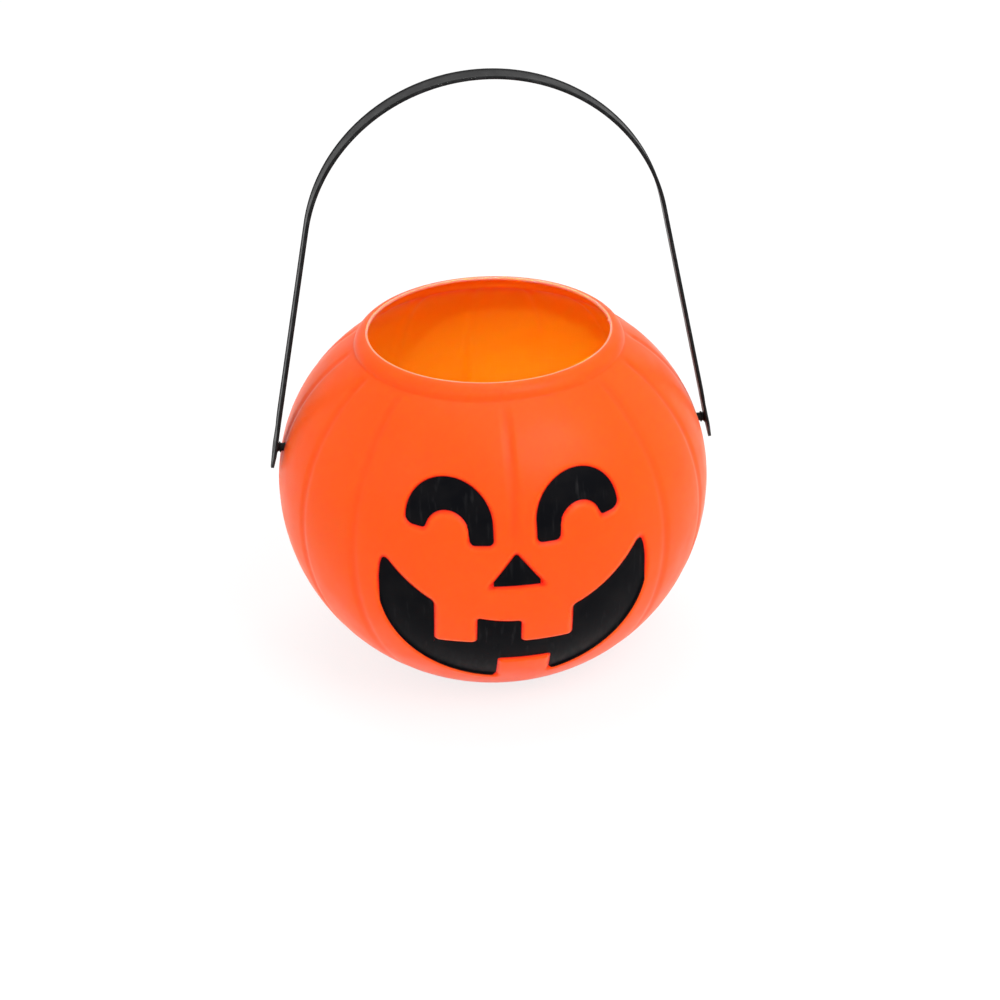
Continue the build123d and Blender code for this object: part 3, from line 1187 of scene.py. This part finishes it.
@dataclass
class FacePaint:
    """The four paint films on the floors of the face."""

    recess: Recess
    finish: BlackPaint = field(default_factory=BlackPaint)
    thickness: float = 0.18
    seat: float = 0.02
    edge: float = -0.04
    climb: float = 0.75
    least_climb: float = 0.05
    climb_ramp: float = 1.5
    wall_shares: tuple[float, ...] = (0.0, 0.33, 0.67)
    step: float = 0.7
    side_gap: float = 0.02
    end_columns: tuple[float, ...] = (0.02, 0.05, 0.1, 0.18, 0.3, 0.45)
    column_digits: int = 4
    search_margin: float = 3.0
    search_count: int = 1800
    halvings: int = 30
    sharp_angle: float = 50.0

    def widths(self, part: FacePart) -> Array:
        """Columns across one part, close together at its ends and at the sides of the teeth.

        Args:
            part: The part of the face.

        Returns:
            Widths from the middle of the face.
        """
        face, gap = self.recess.face, self.side_gap
        eye = (face.brow[0] - face.brow_radius, face.brow[0] + face.brow_radius)
        spans = {
            FacePart.LEFT_EYE: (-eye[1], -eye[0]),
            FacePart.RIGHT_EYE: eye,
            FacePart.NOSE: (-face.nose_half_width, face.nose_half_width),
            FacePart.MOUTH: (-face.lower_lip_size[0], face.lower_lip_size[0]),
        }
        low, high = spans[part]
        x = np.linspace(low, high, math.ceil((high - low) / self.step) + 1)
        fine = np.array(self.end_columns)
        extra = [low + fine, high - fine]
        if part is FacePart.MOUTH:
            for side in (side for tooth in (*face.upper_teeth, face.lower_tooth) for side in tooth):
                extra += [side + gap - self.edge + fine, side - gap + self.edge - fine]
                extra += [np.array([side - gap, side + gap])]
        return np.unique(np.round(np.concatenate([x, *extra]), self.column_digits))

    def edges(self, part: FacePart, x: Array, level: Array, lower: bool) -> tuple[Array, Array]:
        """Height at which the distance along each column passes a level, by halving from inside to outside.

        Args:
            part: The part of the face.
            x: The columns.
            level: The distance to find in each column.
            lower: Whether to look down from the inside, or up.

        Returns:
            The heights, and which columns cross the part at all.
        """
        face = self.recess.face
        shape = face.part(part)
        bottom = face.lower_lip - face.lower_lip_size[1] - self.search_margin
        top = face.brow[1] + face.brow_radius + self.search_margin
        heights = np.linspace(bottom, top, self.search_count)
        deep = shape(x[:, None], heights[None, :])
        inner = heights[np.argmin(deep, axis=1)]
        crosses = deep.min(axis=1) < level
        outside = deep > level[:, None]
        if lower:
            clear = outside & (heights[None, :] < inner[:, None])
            index = heights.size - 1 - np.argmax(clear[:, ::-1], axis=1)
        else:
            clear = outside & (heights[None, :] > inner[:, None])
            index = np.argmax(clear, axis=1)
        outer = np.where(clear.any(axis=1), heights[index], heights[0] if lower else heights[-1])
        for _ in range(self.halvings):
            middle = 0.5 * (inner + outer)
            within = shape(x, middle) < level
            inner = np.where(within, middle, inner)
            outer = np.where(within, outer, middle)
        return 0.5 * (inner + outer), crosses

    def lower_wall(self, x: Array, low: Array) -> Array:
        """Rows on the mouth's lower wall, which its film climbs, but hardly at the lower tooth.

        Args:
            x: The columns.
            low: Height of the floor's lower edge in each column.

        Returns:
            Heights per row and column.
        """
        left, right = self.recess.face.lower_tooth
        beside = np.maximum(left - x, x - right)
        share = np.maximum(smooth_step(beside, 0.0, self.climb_ramp), self.least_climb)
        level = self.edge + (self.climb - self.edge) * share
        wall_low, _ = self.edges(FacePart.MOUTH, x, level, True)
        wall = np.array(self.wall_shares)[:, None]
        return wall_low[None, :] + wall * (low - wall_low)[None, :]

    def build(self, part: FacePart) -> bpy.types.Object:
        """Build one film.

        A grid of columns across the part and rows from its lower to its upper edge lies on the recess,
        moved forward by the film's thickness. A second grid on the recess and a band round the edge close
        it. The mouth's film also climbs its lower wall.

        Args:
            part: The part of the face.

        Returns:
            The film's object.
        """
        x = self.widths(part)
        edge = np.full_like(x, self.edge)
        low, crosses = self.edges(part, x, edge, True)
        high, _ = self.edges(part, x, edge, False)
        x, low, high = x[crosses], low[crosses], high[crosses]
        share = np.linspace(0.0, 1.0, math.ceil((high - low).max() / self.step) + 1)
        z = low[None, :] + share[:, None] * (high - low)[None, :]
        if part is FacePart.MOUTH:
            z = np.concatenate([self.lower_wall(x, low), z])
        rows, columns = z.shape
        x = np.broadcast_to(x[None, :], z.shape)
        ground = self.recess.surface(x, z)
        top = np.stack([x, ground - self.thickness, z], -1).reshape(-1, 3)
        bottom = np.stack([x, ground + self.seat, z], -1).reshape(-1, 3)
        count = rows * columns
        front = grid_quads(rows, columns, False)
        back = front[:, ::-1] + count
        number = np.arange(count).reshape(rows, columns)
        ring = np.concatenate([number[0, :-1], number[:-1, -1], number[-1, :0:-1], number[:0:-1, 0]])
        after = np.roll(ring, -1)
        band = np.stack([ring + count, after + count, after, ring], -1)
        faces = np.concatenate([front, back, band]).tolist()
        places = np.concatenate([top, bottom])
        film = make_piece(f"{part.value}_film", places, faces, sharp_angle=self.sharp_angle)
        self.dress(film, part)
        return film

    def dress(self, film: bpy.types.Object, part: FacePart) -> None:
        """Give a film its finish and its place."""
        film.data.materials.append(self.finish.material())
        place(film, Body.PAIL, Slot.PAINT, part.value)


@dataclass
class StrapHandle:
    """The strap handle: one moulding from leaf-shaped end to leaf-shaped end, and its two pegs."""

    form: PumpkinForm
    finish: BlackPlastic = field(default_factory=BlackPlastic)
    pivot_rise: float = 17.8
    handle_rise: float = 141.0
    lean: float = math.radians(10.5)
    half_width: float = 4.0
    thickness: float = 1.1
    edge_round: float = 0.35
    bead_width: float = 0.9
    bead_height: float = 0.25
    bead_flat: float = 1.15
    bead_start: Pair = (-3.0, 2.0)
    tab_gap: float = 2.5
    tab_above: float = 9.55
    tab_below: float = 8.5
    tab_radius: float = 5.2
    tip_radius: float = 2.0
    tip_half_width: float = 0.25
    panel_depth: float = 0.2
    slot_length: float = 5.0
    slot_width: float = 1.3
    slot_depth: float = 0.6
    slot_wall: Pair = (-0.3, 0.12)
    peg_radius: float = 1.5
    peg_flare: float = 0.8
    flare_power: float = 2.2
    peg_bevel: float = 0.15
    collar_radius: float = 2.0
    collar_thickness: float = 0.6
    head_radius: float = 2.5
    head_land: float = 0.5
    head_tip_radius: float = 1.2
    head_tip_bevel: Pair = (0.4, 0.1)
    head_tip_cut: float = 0.35
    head_length: float = 4.0
    shell_clearance: float = 0.4
    crease_depth: float = 0.7
    wear_width: float = 0.6
    wear_shrink: float = 0.3
    inner_wear: float = 0.6
    sharp_angle: float = 35.0
    tip_turns: Pair = (82.0, 4.0)
    tip_count: int = 10
    leaf_step: float = 0.36
    leg_step: float = 4.0
    arch_count: int = 110
    flare_count: int = 6
    peg_count: int = 40
    edge_columns: tuple[float, ...] = (0.0, 0.06, 0.16, 0.3, 0.46, 0.64, 0.82, 0.97, 1.08, 1.2, 1.45)
    core_columns: tuple[float, ...] = (0.92, 0.8, 0.65, 0.5, 0.38, 0.3, 0.24, 0.18, 0.12, 0.06)
    full_half_width: float = 2.2
    least_shrink: float = 0.05

    @property
    def pivot_height(self) -> float:
        """Height of the pegs."""
        return self.form.belly_height + self.pivot_rise

    @property
    def tab_middle(self) -> float:
        """Distance of each tab's mid-plane from the middle, at the peg."""
        shell = float(self.form.radius(np.array(self.pivot_height)))
        return shell + self.tab_gap + self.thickness / 2.0

    @property
    def arch_radius(self) -> float:
        """Radius of the arch that both leaning legs run into."""
        across = self.tab_middle * math.cos(self.lean) - self.handle_rise * math.sin(self.lean)
        return across / (1.0 - math.sin(self.lean))

    @property
    def arch_height(self) -> float:
        """Height of the arch's centre."""
        return self.pivot_height + self.handle_rise - self.arch_radius

    def tab_half_width(self, along: Array) -> Array:
        """Half width of the leaf and strap at a distance along the leg from the peg.

        The tip's circle, a line that touches both circles, the circle round the peg, a line from that
        circle to the shoulder, and the strap's own half width.

        Args:
            along: Distances from the peg, upwards.

        Returns:
            The half widths.
        """
        big, small = self.tab_radius, self.tip_radius
        tip_middle = small - self.tab_below
        sine = (small - big) / -tip_middle
        cosine = math.sqrt(1.0 - sine**2)
        away = math.hypot(self.half_width, self.tab_above)
        turn = math.atan2(self.tab_above, self.half_width) - math.acos(big / away)
        touch = (big * math.cos(turn), big * math.sin(turn))
        tip = np.sqrt(np.maximum(small**2 - (along - tip_middle) ** 2, 0.0))
        lower_line = (big - along * sine) / cosine
        circle = np.sqrt(np.maximum(big**2 - along**2, 0.0))
        upper_line = np.interp(along, [touch[1], self.tab_above], [touch[0], self.half_width])
        limits = [along < tip_middle + small * sine, along < big * sine, along < touch[1]]
        return np.select(limits, [tip, lower_line, circle], upper_line)

    def stations(self) -> tuple[Array, Array, Array]:
        """Stations from the right tip up, over the arch and down to the left tip.

        The path is a leaning line, an arc and the mirrored line.

        Returns:
            Place in the X-Z plane, outward direction there, and distance along the leg from its peg.
        """
        outward = np.array([math.cos(self.lean), math.sin(self.lean)])
        upward = np.array([-math.sin(self.lean), math.cos(self.lean)])
        peg = np.array([self.tab_middle, self.pivot_height])
        centre = np.array([0.0, self.arch_height])
        knee = centre + self.arch_radius * outward
        leg_length = float((knee - peg) @ upward)
        tip_middle = self.tip_radius - self.tab_below
        turn = np.radians(np.linspace(*self.tip_turns, self.tip_count))
        tip = tip_middle - self.tip_radius * np.sin(turn)
        leaf = spaced(tip_middle, self.tab_above, self.leaf_step)
        along = np.concatenate([tip, leaf, spaced(self.tab_above, leg_length, self.leg_step)])
        leg = peg + along[:, None] * upward
        arc_turn = np.linspace(self.lean, math.pi - self.lean, self.arch_count)
        arc_out = np.stack([np.cos(arc_turn), np.sin(arc_turn)], -1)
        arc = centre + self.arch_radius * arc_out
        flip = np.array([-1.0, 1.0])
        spot = np.concatenate([leg, arc, (leg * flip)[::-1]])
        right_out, left_out = (np.broadcast_to(way, leg.shape) for way in (outward, outward * flip))
        out = np.concatenate([right_out, arc_out, left_out])
        distance = np.concatenate([along, np.full(len(arc), leg_length), along[::-1]])
        return spot, out, distance

    def section(self, half: Array, along: Array) -> tuple[Array, Array, Array]:
        """Closed cross-sections, one per station.

        The outer face carries a bead at each edge on the strap, and a sunken panel inside the same edge
        on the leaf, with the slot pressed into it. The inner face is flat with rounded edges. Where the
        leaf narrows to its tip, everything at the edges shrinks with it.

        Args:
            half: Half width per station.
            along: Distance along the leg from the peg, per station.

        Returns:
            Offset across the strap, offset outwards and closeness to an edge, per station and point.
        """
        shrink = np.clip(half / self.full_half_width, self.least_shrink, 1.0)[:, None]
        from_edge = np.array(self.edge_columns)[None, :] * shrink
        core = half[:, None] - from_edge[:, -1:]
        inner_part = core * np.array(self.core_columns)[None, :]
        right = np.concatenate([half[:, None] - from_edge, inner_part], -1)
        across = np.concatenate([right, np.zeros((len(half), 1)), -right[:, ::-1]], -1)
        inset = half[:, None] - np.abs(across)
        corner = self.edge_round * shrink
        drop = corner - np.sqrt(np.maximum(corner**2 - np.maximum(corner - inset, 0.0) ** 2, 0.0))
        half_bead = self.bead_width / 2.0
        middle = np.abs(inset / shrink - half_bead) / half_bead
        crown = np.clip(self.bead_flat * (1.0 - middle**4), 0.0, 1.0)
        bead = np.where(inset / shrink < half_bead, 1.0, crown)
        start, stop = (self.tab_above + length for length in self.bead_start)
        on_strap = smooth_step(along, start, stop)[:, None]
        height = self.thickness / 2.0 + on_strap * self.bead_height * bead
        height = height - (1.0 - on_strap) * self.panel_depth * (1.0 - bead)
        reach = np.maximum(np.abs(along)[:, None] - (self.slot_length - self.slot_width) / 2.0, 0.0)
        to_slot = np.hypot(across, reach) - self.slot_width / 2.0
        slot = 1.0 - smooth_step(to_slot, *self.slot_wall)
        outer = np.minimum(height, height - slot * (self.slot_depth - self.panel_depth)) - drop
        inner = drop[:, ::-1] - self.thickness / 2.0
        wear = np.clip(1.0 - inset / np.maximum(shrink, self.wear_shrink) / self.wear_width, 0.0, 1.0)
        return (
            np.concatenate([across, across[:, ::-1]], -1),
            np.concatenate([outer, inner], -1),
            np.concatenate([wear, self.inner_wear * wear[:, ::-1]], -1),
        )

    def build_strap(self) -> bpy.types.Object:
        """Build the strap with both leaf-shaped ends: the cross-section carried along the path.

        Returns:
            The strap's object.
        """
        spot, out, along = self.stations()
        half = np.maximum(self.tab_half_width(along), self.tip_half_width)
        across, outward, wear = self.section(half, along)
        x = spot[:, :1] + outward * out[:, :1]
        z = spot[:, 1:] + outward * out[:, 1:]
        points = np.stack([x, across, z], -1).reshape(-1, 3)
        faces = tube_faces(*across.shape)
        strap = make_piece("strap", points, faces, {"edge": wear}, self.sharp_angle)
        self.dress(strap, "handle_strap")
        return strap

    def peg_profile(self) -> Array:
        """Radius of a peg along X, from inside its tab to the tip of its snap head.

        Returns:
            Place along X and radius per profile point.
        """
        form = self.form
        tab_face = self.tab_middle - self.thickness / 2.0
        outer = float(form.radius(np.array(self.pivot_height - self.collar_radius)))
        inner = float(form.radius(np.array(self.pivot_height + self.head_radius), form.wall))
        collar = outer + self.shell_clearance
        collar_end = collar + self.collar_thickness
        shoulder = inner - self.crease_depth - self.shell_clearance
        tip = shoulder - self.head_length
        peg, ring, head, bevel = self.peg_radius, self.collar_radius, self.head_radius, self.peg_bevel
        share = np.linspace(0.0, 1.0, self.flare_count)
        flare_place = tab_face + share * (collar_end - tab_face)
        flare = np.stack([flare_place, peg + self.peg_flare * (1.0 - share) ** self.flare_power], -1)
        rest = [
            (collar_end, ring - bevel),
            (collar_end - bevel, ring),
            (collar + bevel, ring),
            (collar, ring - bevel),
            (collar, peg),
            (shoulder, peg),
            (shoulder, head - bevel),
            (shoulder - bevel, head),
            (shoulder - self.head_land, head),
            (tip + self.head_tip_bevel[0], self.head_tip_radius + self.head_tip_bevel[1]),
            (tip, self.head_tip_radius - self.head_tip_cut),
        ]
        return np.concatenate([[(self.tab_middle, peg + self.peg_flare)], flare, np.array(rest)])

    def build_peg(self, side: Side) -> bpy.types.Object:
        """Build a peg: its profile turned about the line of the pegs, with a flat cap at each end.

        Args:
            side: The end of the handle.

        Returns:
            The peg's object.
        """
        profile = self.peg_profile()
        turn = np.linspace(0.0, 2.0 * math.pi, self.peg_count, endpoint=False)
        x = np.broadcast_to(side.value * profile[:, :1], (len(profile), len(turn)))
        y = profile[:, 1:] * np.cos(turn)
        z = self.pivot_height + profile[:, 1:] * np.sin(turn)
        points = np.stack([x, y, z], -1).reshape(-1, 3)
        faces = tube_faces(*x.shape)
        if side is Side.LEFT:
            faces = [face[::-1] for face in faces]
        wear = np.zeros(len(points))
        peg = make_piece(f"{side.name.lower()}_peg", points, faces, {"edge": wear}, self.sharp_angle)
        self.dress(peg)
        return peg

    def dress(self, piece: bpy.types.Object, *nodes: str) -> None:
        """Give a piece of the handle its finish and its place, for the solids that it replaces."""
        piece.data.materials.append(self.finish.material())
        place(piece, Body.HANDLE, Slot.BLACK, *nodes)


# The room


@dataclass(frozen=True)
class PhotoCamera:
    """The camera that the photograph was taken with, as fitted to the pail."""

    location: Triple = (-0.1007, -1.04514, 0.62938)
    azimuth: float = -5.635
    elevation: float = 28.568
    roll: float = 1.565
    lens: float = 114.33
    clip: Pair = (0.01, 30.0)

    def build(self) -> bpy.types.Object:
        """Build the camera: its back axis from azimuth and elevation, its right axis level, then rolled.

        Returns:
            The camera's object.
        """
        turn, tilt, roll = (math.radians(angle) for angle in (self.azimuth, self.elevation, self.roll))
        back = Vector((math.sin(turn) * math.cos(tilt), -math.cos(turn) * math.cos(tilt), math.sin(tilt)))
        level = Vector((math.cos(turn), math.sin(turn), 0.0))
        up = back.cross(level)
        right = math.cos(roll) * level - math.sin(roll) * up
        top = math.sin(roll) * level + math.cos(roll) * up
        data = bpy.data.cameras.new("photo_camera")
        data.lens = self.lens
        data.clip_start, data.clip_end = self.clip
        camera = bpy.data.objects.new("photo_camera", data)
        bpy.context.scene.collection.objects.link(camera)
        turned = Matrix((right, top, back)).transposed().to_4x4()
        camera.matrix_world = Matrix.Translation(self.location) @ turned
        bpy.context.scene.camera = camera
        return camera


@dataclass(frozen=True)
class SoftBox:
    """A square lamp that looks at the pail, with a grid in front of it where its spread is narrow."""

    name: str
    location: Triple
    size: float
    power: float
    aim: Triple = (0.0, 0.0, 0.08)
    spread: float = 180.0

    def build(self) -> bpy.types.Object:
        """Build the lamp, turned so that it looks at its aim.

        Returns:
            The lamp's object.
        """
        data = bpy.data.lights.new(self.name, "AREA")
        data.size = self.size
        data.energy = self.power
        data.spread = math.radians(self.spread)
        lamp = bpy.data.objects.new(self.name, data)
        bpy.context.scene.collection.objects.link(lamp)
        lamp.location = self.location
        look = Vector(self.aim) - Vector(self.location)
        lamp.rotation_euler = look.to_track_quat("-Z", "Y").to_euler()
        return lamp


@dataclass(frozen=True)
class Studio:
    """Pale floor, white surroundings, soft lamps and the camera."""

    floor_half: float = 4000.0
    floor_drop: float = 0.05
    floor_count: int = 9
    sky_strength: float = 0.85
    camera: PhotoCamera = PhotoCamera()
    floor: PaleFloor = PaleFloor()
    lamps: tuple[SoftBox, ...] = (
        SoftBox("key_softbox", (0.55, -0.75, 1.15), 0.8, 12.0),
        SoftBox("fill_softbox", (-0.95, -0.65, 0.75), 0.9, 2.2),
        SoftBox("top_softbox", (0.0, 0.25, 1.4), 0.9, 7.0),
        SoftBox("inside_softbox", (-0.15, -0.60, 0.75), 0.04, 0.012, (0.014, 0.028, 0.125), 8.0),
    )

    def build_floor(self) -> bpy.types.Object:
        """Build the floor: a flat square grid just under the standing ring.

        Returns:
            The floor's object.
        """
        line = self.floor_half * np.linspace(-1.0, 1.0, self.floor_count)
        x, y = np.meshgrid(line, line)
        points = np.stack([x, y, np.full_like(x, -self.floor_drop)], -1).reshape(-1, 3)
        faces = grid_quads(self.floor_count, self.floor_count, False).tolist()
        floor = make_piece("studio_floor", points, faces)
        floor.data.materials.append(self.floor.material())
        return floor

    def build_sky(self) -> None:
        """Build the surroundings: white where the camera or gloss sees them, softer as light."""
        world = bpy.data.worlds.new("white_surroundings")
        bpy.context.scene.world = world
        world.use_nodes = True
        sky = Wiring(world.node_tree)
        light = sky.tree.nodes["Background"]
        sky.feed(light, {"Color": WHITE, "Strength": self.sky_strength})
        seen = sky.add("ShaderNodeBackground", inputs={"Color": WHITE, "Strength": 1.0})
        surface = sky.layer(sky.background_rays(), light.outputs[0], seen.outputs[0])
        sky.feed(sky.tree.nodes["World Output"], {"Surface": surface})

    def build(self) -> None:
        """Build everything round the pail."""
        bpy.context.scene.view_settings.view_transform = "Standard"
        self.build_floor()
        self.build_sky()
        for lamp in self.lamps:
            lamp.build()
        self.camera.build()


def main() -> None:
    """Build the pail, its face, its handle and the room, in that order."""
    logging.basicConfig(level=logging.INFO, format="%(name)s %(message)s")
    form = PumpkinForm()
    recess = Recess(form, JackFace())
    PailShell(form, recess).build()
    paint = FacePaint(recess)
    for part in FacePart:
        paint.build(part)
    handle = StrapHandle(form)
    handle.build_strap()
    for side in Side:
        handle.build_peg(side)
    Studio().build()


if __name__ == "__main__":
    main()
